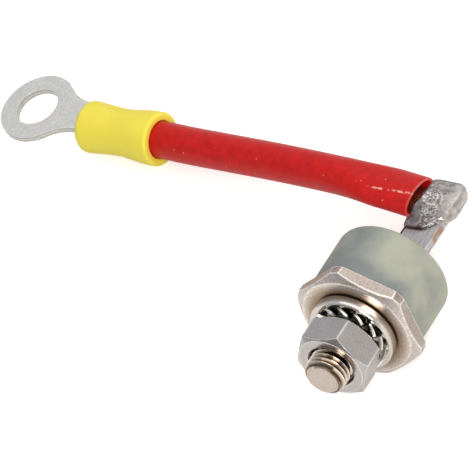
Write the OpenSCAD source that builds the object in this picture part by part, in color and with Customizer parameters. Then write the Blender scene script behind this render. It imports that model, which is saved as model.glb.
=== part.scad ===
// Stud-mounted rectifier diode with a soldered lead and an insulated ring terminal.
// It lies on its side on the plane z = 0, with the stud towards -Y and the lead towards -X.
// The diode's own pieces are drawn upright about the stud: z = 0 is the seat face of the hex,
// +z runs to the stud's tip and -z to the tab's end. lay() then puts them down at rest.

/* [Stud base] */
// Width of the hex across its flats
hex_af = 17; // [16:0.5:19]
// Thickness of the hex
hex_t = 2.2; // [1.8:0.1:4]
// How much of each hex corner is turned off
corner_cut = 0.4; // [0.2:0.05:0.6]
// How far the flat seat stays inside the hex's flats
seat_inset = 0.4; // [0.2:0.05:0.8]
// Turn of the hex about the stud, with a corner straight down at 0
hex_turn = 2; // [-4:1:4]
// Diameter of the stud over its thread
stud_d = 6; // [5:0.1:7]
// Length of the stud from the seat face
stud_len = 10.3; // [9.5:0.1:14]
// Chamfer at the stud's tip
stud_chamfer = 0.7; // [0.3:0.1:1]
// Diameter of the raised round that carries the die
pedestal_d = 9; // [8:0.1:11]
// Height of that round
pedestal_h = 1; // [0.6:0.1:1.5]
// Undercut round its foot, which the moulding grips
pedestal_undercut = 0.4; // [0.2:0.1:0.6]

/* [Housing] */
// Diameter of the moulded body
housing_d = 16.7; // [15:0.1:17.5]
// Height of the body behind the hex
housing_h = 9.5; // [8.5:0.1:14]
// Radius of the body's back edge
housing_edge_r = 1; // [0.5:0.1:2]

/* [Junction] */
// Diameter of the silicon die
die_d = 5; // [4:0.1:6]
// Thickness of the die
die_t = 0.35; // [0.25:0.05:0.6]
// Thickness of the discs under and over the die
disc_t = 0.5; // [0.3:0.1:1]
// Width of the rubber ring round the die
coating_w = 0.9; // [0.5:0.1:1.2]

/* [Terminal tab] */
// Width of the tab
tab_w = 5.6; // [4:0.1:7]
// Thickness of the tab
tab_t = 1.2; // [0.8:0.1:1.6]
// Reach of the tab past the body's back
tab_reach = 16.8; // [14:0.1:20]
// Radius of the tab's end corners
tab_corner_r = 1.2; // [0.5:0.1:1.8]
// Diameter of the head that the tab stands on
tab_head_d = 4.4; // [3.5:0.1:5]
// Thickness of that head
tab_head_t = 0.8; // [0.5:0.1:1.2]

/* [Washers and nut] */
// Radial room between the stud and the two washers
washer_room = 0.2; // [0.1:0.05:0.4]
// Diameter of the plain washer
washer_d = 12.4; // [11:0.1:14]
// Thickness of the plain washer
washer_t = 1.6; // [1.2:0.1:2]
// Radius of the plain washer's rounded front edge
washer_edge_r = 0.5; // [0.2:0.1:0.8]
// Diameter over the lock washer's teeth
tooth_d = 11; // [10.4:0.1:12]
// Diameter of the lock washer's flat ring
tooth_root_d = 8.6; // [8:0.1:9.2]
// Sheet thickness of the lock washer
tooth_t = 0.6; // [0.4:0.05:0.8]
// Number of teeth
tooth_count = 14; // [8:1:16]
// Width of one tooth
tooth_w = 1.9; // [1.2:0.1:2.2]
// Twist of each tooth out of the ring's plane
tooth_twist = 27; // [10:1:40]
// Width of the nut across its flats
nut_af = 10; // [9:0.5:13]
// Height of the nut
nut_h = 4.7; // [4:0.1:5.5]
// How far the nut's end rounds stay inside its flats
nut_inset = 0.25; // [0.1:0.05:0.5]
// Turn of the nut about the stud
nut_turn = 2; // [-30:1:30]
// Radial room between the stud and the nut's plain hole
nut_room = 0.1; // [0.05:0.05:0.2]
// Width of the countersink at each mouth of the nut
nut_sink = 0.4; // [0.2:0.05:0.6]

/* [Solder joint] */
// Thickness of the solder between the tab and the flattened conductor
solder_bed = 0.75; // [0.4:0.05:1]
// Length of the solder along the tab
solder_len = 9; // [7:0.1:11]
// How far the solder stays short of the tab's end
solder_short = 0.3; // [0:0.1:1]
// How far the solder bulges past the tab's free side
solder_bulge = 0.5; // [0.2:0.1:1]
// How far the solder stays clear of the tab's other side, under the sleeve's mouth
solder_near = 1.8; // [1.7:0.1:2.5]
// Radius of the solder's soft edges
solder_soft_r = 0.6; // [0.3:0.1:0.8]

/* [Lead] */
// Outside diameter of the sleeve
sleeve_d = 5.35; // [4.8:0.05:5.8]
// Wall of the sleeve
sleeve_wall = 0.6; // [0.4:0.05:0.7]
// Diameter of the stranded conductor
conductor_d = 3.2; // [2.6:0.1:3.4]

/* [Ring terminal] */
// Diameter of the ring
ring_d = 11.4; // [10:0.1:13]
// Diameter of the hole in the ring
ring_hole_d = 6.4; // [5.3:0.1:8]
// Sheet thickness of the terminal
sheet_t = 1; // [0.8:0.1:1.2]
// Width of the neck between the ring and the barrel
neck_w = 4.9; // [4:0.1:5.5]
// Radius in the corners between the ring and the neck
neck_fillet_r = 3; // [2:0.1:5]
// Distance from the hole's centre to the end of the flat neck
neck_len = 7; // [6.4:0.1:9]
// Length over which the neck rolls up into the barrel
roll_len = 1.9; // [1.5:0.1:3]
// How far the ring and neck lie below the barrel's top
tongue_drop = 0.15; // [0.1:0.05:0.3]
// Length of the barrel
barrel_len = 7.4; // [6:0.1:9]
// Radial room between the conductor and the barrel
barrel_room = 0.05; // [0.02:0.01:0.1]

/* [Terminal grip] */
// Length of the grip
grip_len = 13.3; // [12:0.1:17]
// How far the grip reaches over the rolled neck
grip_lap = 0.7; // [0.3:0.1:1.2]
// Wall of the grip at its front end
grip_front_wall = 1.05; // [0.8:0.05:1.3]
// Wall of the grip at the crimped waist
grip_waist_wall = 0.7; // [0.4:0.05:0.9]
// Wall of the grip at its rear mouth
grip_rear_wall = 0.9; // [0.7:0.05:1.3]
// Radial room between the grip and the barrel
grip_room = 0.05; // [0.02:0.01:0.1]
// Radial room between the sleeve and the grip's rear mouth
mouth_room = 0.3; // [0.1:0.05:0.5]
// Radius of the grip's front edge
grip_front_r_edge = 0.65; // [0.2:0.05:0.7]
// Radius of the grip's rear edge
grip_rear_r_edge = 0.4; // [0.2:0.05:0.5]

/* [Hidden] */
$fn = 64;

// Overlap of cutting shapes past the faces that they open
over = 1;
// Slope of the turned chamfers on hex and nut
chamfer_slope = tan(30);

// Hex base
corner_r = hex_af / 2 / cos(30) - corner_cut;
seat_r = hex_af / 2 - seat_inset;
stud_r = stud_d / 2;
housing_r = housing_d / 2;
back_z = hex_t + housing_h;

// Stack inside the body, counted back from the seat face
lower_z = hex_t + pedestal_h;
die_z = lower_z + disc_t;
upper_z = die_z + die_t;
head_z = upper_z + disc_t;
lower_disc_d = die_d + 2 * coating_w;
tab_end_z = back_z + tab_reach;

// Stack on the stud, counted forward from the seat face
tooth_span = tooth_w * sin(tooth_twist) + tooth_t * cos(tooth_twist);
nut_z = washer_t + tooth_span;
nut_bore_r = stud_r + nut_room;

// The diode rests on one hex corner and on the rounded back edge of its body: the tilt is where
// the back corner of the hex and the edge's round are equally low
tilt_a = corner_r - housing_r + housing_edge_r;
tilt_b = housing_h - housing_edge_r;
rest_tilt = acos(housing_edge_r / norm([tilt_a, tilt_b])) - atan2(tilt_b, tilt_a);
rest_z = corner_r * cos(rest_tilt) + hex_t * sin(rest_tilt);
tip_y = -stud_len * cos(rest_tilt) - (stud_r - stud_chamfer) * sin(rest_tilt);
end_y = tab_end_z * cos(rest_tilt);
rest_y = -(tip_y + end_y) / 2;
// Direction out of the tab's upper face, once laid
tab_up = [0, sin(rest_tilt), cos(rest_tilt)];

// Ring terminal, measured from the hole's centre towards the lead
conductor_r = conductor_d / 2;
sleeve_r = sleeve_d / 2;
barrel_bore_r = conductor_r + barrel_room;
barrel_r = barrel_bore_r + sheet_t;
sheet_z = barrel_r - tongue_drop - sheet_t / 2;
roll_r = barrel_bore_r + sheet_t / 4;
// The neck narrows to just inside the line where its upper face meets the barrel
roll_half_w = 0.9 * sqrt(pow(barrel_r, 2) - pow(barrel_r - tongue_drop, 2));
barrel_start = neck_len + roll_len;
barrel_end = barrel_start + barrel_len;
grip_start = barrel_start - grip_lap;
grip_end = grip_start + grip_len;
grip_bore_r = barrel_r + grip_room;
grip_front_r = grip_bore_r + grip_front_wall;
grip_waist_r = grip_bore_r + grip_waist_wall;
grip_mouth_r = sleeve_r + mouth_room;
grip_rear_r = grip_mouth_r + grip_rear_wall;
// Place of the ring on the plane, and the terminal's heading; the grip's rear rim touches the plane
ring_at = [-73.23, 25.95];
terminal_heading = -5.27;
terminal_dir = [cos(terminal_heading), sin(terminal_heading), 0];
ring_foot = [ring_at.x, ring_at.y, grip_rear_r];

// Route of the lead from the tab to the grip: x, y, z and how flat it is pressed, from 0 to 1
lead_points = [
    [-2, 14.9, 8.2, 1],
    [-8, 16.25, 7.9, 0.9],
    [-14, 17.5, 7.5, 0.55],
    [-20, 18.68, 6.9, 0.2],
    [-29, 20.28, 6, 0],
    [-38, 21.8, 5, 0],
    [-46, 23.05, 4.25, 0]];
// End of the conductor on the tab
conductor_tail = [2.4, 14, 8.2, 1];
sleeve_route = concat(lead_points, [axis_point(grip_end), axis_point(barrel_end)]);
conductor_route = concat([conductor_tail], sleeve_route, [axis_point(barrel_start + sheet_t)]);
lead_sides = 12;

function unit(v) = v / norm(v);
function place(p) = [p.x, p.y, p.z];
function flatness(p) = p[3];
// A point on the terminal's axis at a distance from the ring's centre
function axis_point(d) = concat(ring_foot + d * terminal_dir, [0]);
function direction(route, i) =
    unit(place(route[min(i + 1, len(route) - 1)]) - place(route[max(i - 1, 0)]));
// One oval ring of points across a route, wide along the tab's face and low away from it
function oval(centre, along, half_w, half_h) =
    let (side = unit(cross(tab_up, along)), lift = cross(along, side))
    [for (k = [0 : lead_sides - 1])
        let (turn = 360 * k / lead_sides)
        centre + half_w * cos(turn) * side + half_h * sin(turn) * lift];
function ovals(route, widths, heights) =
    [for (i = [0 : len(route) - 1])
        each oval(place(route[i]), direction(route, i), widths[i], heights[i])];
// Pressing a round flat widens it and lowers it, with about the same girth
function sleeve_half_w(route, wall) = [for (p = route) sleeve_r * (1 + 0.35 * flatness(p)) - wall];
function sleeve_half_h(route, wall) = [for (p = route) sleeve_r * (1 - 0.46 * flatness(p)) - wall];
function conductor_half_w(route) = [for (p = route) conductor_r * (1 + 0.7 * flatness(p))];
function conductor_half_h(route) = [for (p = route) conductor_r * (1 - 0.55 * flatness(p))];
// The wall faces between neighbouring rings, from point number first on
function wall_faces(rings, first) =
    [for (i = [0 : rings - 2], k = [0 : lead_sides - 1])
        let (a = first + i * lead_sides, next = (k + 1) % lead_sides)
        [a + k, a + lead_sides + k, a + lead_sides + next, a + next]];
function turned_over(faces) = [for (f = faces) [for (i = [len(f) - 1 : -1 : 0]) f[i]]];
// The faces that close a hollow tube between its outer and inner ring
function rim_faces(outer, inner) =
    [for (k = [0 : lead_sides - 1])
        let (next = (k + 1) % lead_sides)
        [outer + k, outer + next, inner + next, inner + k]];

module lay() {
    translate([0, rest_y, rest_z]) rotate([90 - rest_tilt, 0, 0]) children();
}

module on_terminal() {
    translate(ring_foot) rotate([0, 0, terminal_heading]) children();
}

// A disc behind the seat face
module disc_behind(z, d, t) {
    translate([0, 0, -z - t]) cylinder(d = d, h = t);
}

module pedestal_shape() {
    waist_r = pedestal_d / 2 - pedestal_undercut;
    rotate_extrude()
        polygon([[0, -hex_t], [waist_r, -hex_t], [pedestal_d / 2, -lower_z], [0, -lower_z]]);
}

module coating_shape() {
    difference() {
        disc_behind(die_z, lower_disc_d, die_t);
        disc_behind(die_z - over, die_d, die_t + 2 * over);
    }
}

// The tab's upper face lies in the plane through the stud's axis
module tab_outline() {
    strip = tab_end_z - head_z;
    translate([-tab_w / 2, 0]) square([tab_w, strip - tab_corner_r]);
    translate([-tab_w / 2 + tab_corner_r, 0]) square([tab_w - 2 * tab_corner_r, strip]);
    for (side = [-1, 1])
        translate([side * (tab_w / 2 - tab_corner_r), strip - tab_corner_r]) circle(tab_corner_r);
}

module tab_shape() {
    disc_behind(head_z, tab_head_d, tab_head_t);
    translate([0, 0, -head_z]) rotate([-90, 0, 0])
        translate([0, 0, -tab_t]) linear_extrude(tab_t) tab_outline();
}

module stud_base() {
    color("#c8c4bd") lay() {
        intersection() {
            translate([0, 0, -hex_t]) rotate(30 + hex_turn)
                cylinder(d = hex_af / cos(30), h = hex_t, $fn = 6);
            rotate_extrude()
                polygon([[0, -hex_t], [corner_r, -hex_t],
                    [corner_r, -(corner_r - seat_r) * chamfer_slope], [seat_r, 0], [0, 0]]);
        }
        cylinder(r = stud_r, h = stud_len - stud_chamfer);
        translate([0, 0, stud_len - stud_chamfer])
            cylinder(r1 = stud_r, r2 = stud_r - stud_chamfer, h = stud_chamfer);
        pedestal_shape();
    }
}

module housing() {
    color("#a9af9c") lay() difference() {
        rotate_extrude() translate([0, -back_z]) {
            translate([0, housing_edge_r]) square([housing_r, housing_h - housing_edge_r]);
            square([housing_r - housing_edge_r, housing_h]);
            translate([housing_r - housing_edge_r, housing_edge_r]) circle(housing_edge_r);
        }
        pedestal_shape();
        disc_behind(lower_z, lower_disc_d, disc_t);
        disc_behind(die_z, lower_disc_d, die_t);
        disc_behind(upper_z, die_d, disc_t);
        tab_shape();
    }
}

module lower_disc() {
    color("#8f9296") lay() disc_behind(lower_z, lower_disc_d, disc_t);
}

module silicon_die() {
    color("#3c4048") lay() disc_behind(die_z, die_d, die_t);
}

module junction_coating() {
    color("#b9a27a") lay() coating_shape();
}

module upper_disc() {
    color("#8f9296") lay() disc_behind(upper_z, die_d, disc_t);
}

module terminal_tab() {
    color("#a8a7a4") lay() tab_shape();
}

module plain_washer() {
    bore_r = stud_r + washer_room;
    rim_r = washer_d / 2 - washer_edge_r;
    color("#d0cdc8") lay() difference() {
        rotate_extrude() {
            square([washer_d / 2, washer_t - washer_edge_r]);
            square([rim_r, washer_t]);
            translate([rim_r, washer_t - washer_edge_r]) circle(washer_edge_r);
        }
        translate([0, 0, -over]) cylinder(r = bore_r, h = washer_t + 2 * over);
    }
}

// One tooth is a blade along a radius, turned about that radius
module tooth() {
    inner = tooth_root_d / 2 - tooth_t;
    rotate([-tooth_twist, 0, 0]) translate([inner, -tooth_w / 2, -tooth_t / 2])
        cube([tooth_d / 2 - inner + over, tooth_w, tooth_t]);
}

module tooth_washer() {
    bore_r = stud_r + washer_room;
    color("#8a8984") lay() translate([0, 0, washer_t + tooth_span / 2]) difference() {
        union() {
            translate([0, 0, -tooth_t / 2]) cylinder(d = tooth_root_d, h = tooth_t);
            intersection() {
                for (i = [0 : tooth_count - 1]) rotate(360 * i / tooth_count) tooth();
                cylinder(d = tooth_d, h = tooth_span, center = true);
            }
        }
        cylinder(r = bore_r, h = tooth_span + over, center = true);
    }
}

module hex_nut() {
    tip_r = nut_af / 2 - nut_inset;
    wide_r = nut_af / 2 / cos(30) + nut_inset;
    fall = (wide_r - tip_r) * chamfer_slope;
    color("#c4c1bc") lay() translate([0, 0, nut_z]) difference() {
        intersection() {
            rotate(nut_turn) cylinder(d = nut_af / cos(30), h = nut_h, $fn = 6);
            rotate_extrude()
                polygon([[0, 0], [tip_r, 0], [wide_r, fall], [wide_r, nut_h - fall],
                    [tip_r, nut_h], [0, nut_h]]);
        }
        translate([0, 0, -over]) cylinder(r = nut_bore_r, h = nut_h + 2 * over);
        cylinder(r1 = nut_bore_r + nut_sink, r2 = nut_bore_r, h = nut_sink);
        translate([0, 0, nut_h - nut_sink])
            cylinder(r1 = nut_bore_r, r2 = nut_bore_r + nut_sink, h = nut_sink);
    }
}

// A rounded rectangle between two corners
module soft_rect(low, high, r) {
    translate([low.x + r, low.y]) square([high.x - low.x - 2 * r, high.y - low.y]);
    translate([low.x, low.y + r]) square([high.x - low.x, high.y - low.y - 2 * r]);
    for (x = [low.x + r, high.x - r], y = [low.y + r, high.y - r]) translate([x, y]) circle(r);
}

// The solder is one pillow that has run round the flattened conductor and over the tab's free side
module solder_lump() {
    near = -tab_w / 2 + solder_near;
    far = tab_w / 2 + solder_bulge;
    floor_y = -tab_t + solder_soft_r / 2;
    top_y = solder_bed + conductor_half_h([conductor_tail])[0];
    to = tab_end_z - solder_short;
    from = to - solder_len;
    intersection() {
        translate([0, 0, -to]) linear_extrude(solder_len)
            soft_rect([near, floor_y], [far, top_y], solder_soft_r);
        rotate([0, 90, 0]) translate([0, 0, near - over]) linear_extrude(tab_w + 2 * over)
            difference() {
                soft_rect([from, floor_y], [to, top_y], solder_soft_r);
                polygon([[from - over, solder_bed / 2], [from, solder_bed / 2],
                    [from + solder_len / 3, top_y], [from + solder_len / 3, top_y + over],
                    [from - over, top_y + over]]);
            }
    }
}

module solder_joint() {
    color("#9b9a97") difference() {
        lay() solder_lump();
        lay() tab_shape();
        conductor_shape();
    }
}

module conductor_shape() {
    route = conductor_route;
    rings = len(route);
    points = ovals(route, conductor_half_w(route), conductor_half_h(route));
    first_end = [for (k = [0 : lead_sides - 1]) k];
    last_end = [for (k = [lead_sides - 1 : -1 : 0]) (rings - 1) * lead_sides + k];
    polyhedron(points, concat([first_end], wall_faces(rings, 0), [last_end]));
}

module sleeve_shape() {
    route = sleeve_route;
    rings = len(route);
    count = rings * lead_sides;
    last = count - lead_sides;
    outer = ovals(route, sleeve_half_w(route, 0), sleeve_half_h(route, 0));
    inner = ovals(route, sleeve_half_w(route, sleeve_wall), sleeve_half_h(route, sleeve_wall));
    polyhedron(concat(outer, inner),
        concat(wall_faces(rings, 0), turned_over(wall_faces(rings, count)),
            rim_faces(0, count), turned_over(rim_faces(last, count + last))));
}

module lead_conductor() {
    color("#b08d6e") conductor_shape();
}

module lead_sleeve() {
    color("#c0201c") sleeve_shape();
}

// The ring and its neck, with round fillets that bite a little into both
module tongue_outline() {
    bite = sheet_t / 20;
    fillet_y = neck_w / 2 + neck_fillet_r - bite;
    fillet_x = sqrt(pow(ring_d / 2 + neck_fillet_r - bite, 2) - pow(fillet_y, 2));
    circle(d = ring_d);
    difference() {
        polygon([[0, 0], [fillet_x, fillet_y], [fillet_x, -fillet_y]]);
        for (side = [-1, 1]) translate([fillet_x, side * fillet_y]) circle(neck_fillet_r);
    }
    polygon([[0, -neck_w / 2], [neck_len, -neck_w / 2], [barrel_start, -roll_half_w],
        [barrel_start + sheet_t / 2, -roll_half_w], [barrel_start + sheet_t / 2, roll_half_w],
        [barrel_start, roll_half_w], [neck_len, neck_w / 2], [0, neck_w / 2]]);
}

module ring_terminal() {
    color("#b5b6b8") on_terminal() difference() {
        union() {
            translate([0, 0, sheet_z - sheet_t / 2]) linear_extrude(sheet_t) tongue_outline();
            translate([neck_len, 0, 0]) rotate([0, 90, 0])
                cylinder(r1 = roll_r, r2 = barrel_r, h = roll_len);
            translate([barrel_start, 0, 0]) rotate([0, 90, 0]) cylinder(r = barrel_r, h = barrel_len);
        }
        translate([0, 0, sheet_z - sheet_t]) cylinder(d = ring_hole_d, h = 2 * sheet_t);
        translate([neck_len - over, 0, 0]) rotate([0, 90, 0])
            cylinder(r = barrel_bore_r, h = roll_len + barrel_len + 2 * over);
    }
}

// Outer radius of the grip at a share of its length: full at the front, waisted where it is
// crimped, and widest at the rear mouth
function blend(a, b, share) = a + (b - a) * (1 - cos(180 * share)) / 2;
waist_share = 0.46;
rear_share = 0.92;
function grip_r(share) =
    share < waist_share
        ? blend(grip_front_r, grip_waist_r, max(0, share - 0.08) / (waist_share - 0.08))
        : blend(grip_waist_r, grip_rear_r, min(1, (share - waist_share) / (rear_share - waist_share)));
grip_steps = 24;

module terminal_grip() {
    fore = grip_front_r_edge;
    aft = grip_rear_r_edge;
    outline = [for (i = [2 : grip_steps - 1]) [grip_r(i / grip_steps), i / grip_steps * grip_len]];
    front_round = [for (a = [90 : -15 : 15])
        [grip_front_r - fore + fore * cos(a), fore - fore * sin(a)]];
    rear_round = [for (a = [15 : 15 : 90])
        [grip_rear_r - aft + aft * cos(a), grip_len - aft + aft * sin(a)]];
    bore_at = barrel_start - grip_start;
    seat_at = barrel_end - grip_start;
    throat_r = grip_bore_r + 0.3 * grip_front_wall;
    bore = [[grip_mouth_r, grip_len], [sleeve_r + grip_room, seat_at + sleeve_r],
        [sleeve_r + grip_room, seat_at], [grip_bore_r, seat_at], [grip_bore_r, bore_at], [throat_r, 0]];
    color("#e2d23f") on_terminal() translate([grip_start, 0, 0]) rotate([0, 90, 0])
        rotate_extrude() polygon(concat(front_round, outline, rear_round, bore));
}

stud_base();
housing();
lower_disc();
silicon_die();
junction_coating();
upper_disc();
terminal_tab();
plain_washer();
tooth_washer();
hex_nut();
solder_joint();
lead_conductor();
lead_sleeve();
ring_terminal();
terminal_grip();
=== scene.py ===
# %% [markdown]
# # A stud rectifier diode with its lead
# A power diode lies on its side on a white table. Its hex base and threaded stud carry a nut and two
# washers, its body is cast epoxy, and a short red lead is soldered to its tab and ends in a yellow ring
# terminal. The solids come in as a frame, and every piece that shows is modelled again with the edges,
# threads and finishes that a lathe, a press or a mould leaves.

# %% Load the frame
from functools import partial
from math import atan2, copysign, cos, pi, radians, sin, sqrt, tan

import bpy
from mathutils import Matrix, Vector, noise


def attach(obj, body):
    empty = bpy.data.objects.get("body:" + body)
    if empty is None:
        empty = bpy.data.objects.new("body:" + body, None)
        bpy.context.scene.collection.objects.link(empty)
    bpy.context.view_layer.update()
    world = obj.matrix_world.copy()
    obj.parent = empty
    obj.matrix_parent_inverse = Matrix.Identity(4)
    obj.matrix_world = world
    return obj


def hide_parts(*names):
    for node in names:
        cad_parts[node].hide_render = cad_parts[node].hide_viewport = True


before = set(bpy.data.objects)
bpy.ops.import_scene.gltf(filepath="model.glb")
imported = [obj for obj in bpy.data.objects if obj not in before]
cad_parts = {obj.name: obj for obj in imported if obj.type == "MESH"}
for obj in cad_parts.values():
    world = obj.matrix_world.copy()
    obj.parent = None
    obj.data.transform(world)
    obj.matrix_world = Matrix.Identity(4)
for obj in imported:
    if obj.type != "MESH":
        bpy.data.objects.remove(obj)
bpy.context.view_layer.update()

MM = 0.001


def as_mm(metres):
    """Lengths in metres as rounded millimetres, for printing."""
    return [round(v / MM, 2) for v in metres]


# %% [markdown]
# ## The camera
# The photo was taken from the stud's side, from above, with the camera rolled so that the diode stands
# steeply in the picture. A long lens at a little over a metre keeps the hex's sides nearly parallel.
# Three angles and one aim point are easier to read and to correct than a matrix, so they come first.
# SEAT is the middle of the hex's seat face, in millimetres.

# %% Place the camera
SEAT = Vector((0, -8.8885, 9.6145))
AZIMUTH, ELEVATION, ROLL = radians(49.26), radians(41.74), radians(-32.07)
DISTANCE, AIM_LEFT, AIM_UP = 1152, 16.395, 12.45
LENS, SENSOR, FAR_CLIP = 653.8, 36, 20
ahead = Vector((-cos(ELEVATION) * sin(AZIMUTH),
                cos(ELEVATION) * cos(AZIMUTH), -sin(ELEVATION)))
level_right = Vector((cos(AZIMUTH), sin(AZIMUTH), 0))
level_up = level_right.cross(ahead)
right = level_right * cos(ROLL) + level_up * sin(ROLL)
up = level_up * cos(ROLL) - level_right * sin(ROLL)
eye = (SEAT - AIM_LEFT * right + AIM_UP * up - DISTANCE * ahead) * MM

lens = bpy.data.cameras.new("photo_camera")
lens.lens, lens.sensor_width, lens.clip_end = LENS, SENSOR, FAR_CLIP
camera = bpy.data.objects.new("photo_camera", lens)
bpy.context.collection.objects.link(camera)
camera.matrix_world = Matrix.Translation(eye) @ Matrix((right, up, -ahead)).transposed().to_4x4()
bpy.context.scene.camera = camera
print("camera at", as_mm(eye), "mm")

# %% [markdown]
# ## Table and light
# The ground is plain white paper. A material that shines a little for the camera, and a touch in
# mirrors, makes it white in the picture, and its own diffuse part still takes the soft shadow. The
# bright metal needs something to mirror: a broad lamp behind and above, a small one by the camera, and
# a room that is darker in front, with a cool window on the left and a pale one on the right.


# %% One function for colours, one for nodes
def linear(code):
    """An sRGB hex colour as the linear values that shaders use."""
    parts = [int(code[i:i + 2], 16) / 255 for i in (1, 3, 5)]
    return [c / 12.92 if c <= 0.04045 else ((c + 0.055) / 1.055) ** 2.4 for c in parts] + [1]


def add(material, kind, inputs=(), operation=None, **settings):
    """Adds a node with its settings, and sets or links its inputs, by name or in their order.

    A node stands for its first output, and From or To for both ends of a range.
    """
    made = material.node_tree.nodes.new("ShaderNode" + kind)
    if operation:
        made.operation = operation
    for name, value in settings.items():
        setattr(made, name, value)
    for name, value in inputs.items() if isinstance(inputs, dict) else enumerate(inputs):
        if isinstance(value, bpy.types.Node):
            value = value.outputs[0]
        if isinstance(value, bpy.types.NodeSocket):
            material.node_tree.links.new(value, made.inputs[name])
        elif name in ("From", "To"):
            made.inputs[name + " Min"].default_value, made.inputs[name + " Max"].default_value = value
        else:
            made.inputs[name].default_value = linear(value) if isinstance(value, str) else value
    return made


def set_stops(ramp, stops):
    """Sets the stops of a colour ramp, given as pairs of a position and a colour."""
    elements = ramp.color_ramp.elements
    for i, (position, colour) in ((0, stops[0]), (1, stops[-1])):
        elements[i].position, elements[i].color = position, linear(colour)
    for position, colour in stops[1:-1]:
        elements.new(position).color = linear(colour)


def new_material(name):
    """An empty node material, and the function above made ready for it."""
    material = bpy.data.materials.new(name)
    material.use_nodes = True
    material.node_tree.nodes.clear()
    return material, partial(add, material)


# %% White paper
GLOW_FOR_CAMERA, GLOW_IN_MIRRORS, TABLE_SIZE = 0.5, 0.12, 3
paper, node = new_material("white_paper")
rays = node("LightPath").outputs
mirrored = node("Math", [rays["Is Glossy Ray"], rays["Is Transmission Ray"]], "ADD")
in_mirrors = node("Math", [mirrored, GLOW_IN_MIRRORS], "MULTIPLY")
lift = node("Math", [rays["Is Camera Ray"], GLOW_FOR_CAMERA, in_mirrors], "MULTIPLY_ADD")
matt = node("BsdfDiffuse", {"Color": "#e6e4e2"})
glow = node("Emission", {"Color": "#ffffff", "Strength": lift})
both = node("AddShader", [matt, glow])
node("OutputMaterial", {"Surface": both})

bpy.ops.mesh.primitive_plane_add(size=TABLE_SIZE)
table = bpy.context.active_object
table.name = "table"
table.data.materials.append(paper)
print("table", as_mm(table.dimensions), "mm")

# %% The room: shares of a direction say where it is pale, cool or dark
world = bpy.data.worlds.new("room")
world.use_nodes = True
world.node_tree.nodes.clear()
node = partial(add, world)
way = node("SeparateXYZ", [node("TexCoord").outputs["Generated"]]).outputs
walls = node("ValToRGB", {"Fac": way["Z"]})
set_stops(walls, [(0, "#b3aca6"), (0.8, "#dddbd8")])
window = node("MapRange", {"Value": way["X"], "From": (0.1, -0.9), "To": (0, 0.8)})
cool = node("MixRGB", [window, walls, "#d0d2d6"])
side_window = node("MapRange", {"Value": way["X"], "From": (0.5, 0.85)})
lit = node("MixRGB", [side_window, cool, "#eae4df"])
open_left = node("MapRange", {"Value": way["X"], "From": (0, -0.8), "To": (0, 0.45)})
facing = node("Math", [way["Y"], open_left], "ADD")
dark_front = node("MapRange", {"Value": facing, "From": (-0.25, -0.8), "To": (1, 0.4)})
shaded = node("MixRGB", [1, lit, dark_front], blend_type="MULTIPLY")
sky = node("Background", {"Color": shaded, "Strength": 0.95})
node("OutputWorld", {"Surface": sky})
bpy.context.scene.world = world
print("room:", len(world.node_tree.nodes), "nodes")

# %% The lamps
LAMPS_AIM = Vector((-0.02, 0.005, 0.005))


def lamp(name, place, size, watts, tint):
    """A soft rectangular lamp that faces the diode."""
    data = bpy.data.lights.new(name, "AREA")
    data.shape = "RECTANGLE"
    data.size, data.size_y = size
    data.energy = watts
    data.color = linear(tint)[:3]
    holder = bpy.data.objects.new(name, data)
    bpy.context.collection.objects.link(holder)
    holder.location = place
    holder.rotation_euler = (LAMPS_AIM - Vector(place)).to_track_quat("-Z", "Y").to_euler()


lamp("back_lamp", (0.14, 0.6, 0.78), (1.3, 1.0), 3.3, "#fffbf7")
lamp("front_lamp", (0.56, -0.46, 0.6), (0.45, 0.45), 6.0, "#fffaf4")

# %% [markdown]
# ## The red sleeve of the lead
# The lead is a stiff stranded wire in a red PVC sleeve, about 56 mm of it from the tab to the terminal.
# Its open end at the tab has been pressed flat, so it is wider than it is high there. A curve with a
# round bevel can't be flat at one end only. So a flat grid is rolled into a tube, ring by ring, along
# the route of the solid, and each ring is as flat as the route says. The grid also brings a UV map that
# runs round and along the lead.

# %% Route of the lead, from the tab to the barrel of the terminal
TILT = radians(7.0902)
TAB_UP = Vector((0, sin(TILT), cos(TILT)))
RING_AT, HEADING, AXIS_Z = Vector((-73.23, 25.95, 0)), radians(-5.27), 3.875
BARREL_END, GRIP_START, GRIP_END = 16.3, 8.2, 21.5


def on_terminal_axis(distance):
    """A round point of the route on the terminal's axis, at a distance from the ring's middle."""
    return (RING_AT.x + distance * cos(HEADING), RING_AT.y + distance * sin(HEADING), AXIS_Z, 0)


# Each point is x, y and z in millimetres, and how flat the sleeve is pressed there, from 0 to 1.
ROUTE = [(-2, 14.9, 8.2, 1), (-8, 16.25, 7.9, 1), (-14, 17.5, 7.5, 0.4), (-20, 18.68, 6.9, 0.06),
         (-29, 20.28, 6, 0), (-38, 21.8, 5, 0), (-46, 23.05, 4.25, 0),
         on_terminal_axis(GRIP_END), on_terminal_axis(BARREL_END)]


def smooth_route(points, per_span):
    """Points on one smooth curve through the given ones, with the flatness carried along."""
    points = [Vector(p) for p in points]
    out = []
    for i in range(len(points) - 1):
        before, after = points[max(i - 1, 0)], points[min(i + 2, len(points) - 1)]
        a, b = points[i], points[i + 1]
        for step in range(per_span):
            t = step / per_span
            p = 0.5 * (2 * a + (b - before) * t + (2 * before - 5 * a + 4 * b - after) * t ** 2
                       + (3 * a - before - 3 * b + after) * t ** 3)
            p[3] = min(max(p[3], 0), 1)
            out.append(p)
    return out + [points[-1]]


lead_line = smooth_route(ROUTE, 5)


# %% Roll a grid into a tube
def pick(piece):
    """Makes one object the only selected and the active one."""
    bpy.ops.object.select_all(action="DESELECT")
    piece.select_set(True)
    bpy.context.view_layer.objects.active = piece


def named(name):
    """Gives the object that was just added its name, and its mesh too."""
    piece = bpy.context.active_object
    piece.name = piece.data.name = name
    return piece


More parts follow.
